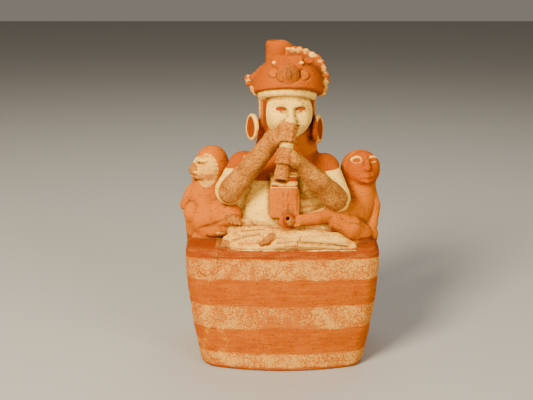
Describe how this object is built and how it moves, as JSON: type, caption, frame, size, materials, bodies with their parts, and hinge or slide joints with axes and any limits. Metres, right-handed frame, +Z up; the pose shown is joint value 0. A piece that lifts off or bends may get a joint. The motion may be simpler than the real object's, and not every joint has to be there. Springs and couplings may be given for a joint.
{
  "type": "stirrup spout vessel",
  "caption": "Hollow fired-clay stirrup spout vessel: a box-shaped chamber with a seated flute player between monkeys, a stirrup tube and an upright spout behind.",
  "frame": {"origin": "centre of the chamber's flat underside", "axes": "+Z up to the spout's mouth, +X to the right of a viewer who faces the figures, -Y the way the figures face"},
  "size_m": [0.1557, 0.1253, 0.2425],
  "materials": {
    "slip_clay": "matt fired clay with worn cream and dark red slip"
  },
  "bodies": {
    "root": {"vessel": "slip_clay"}
  },
  "joints": []
}
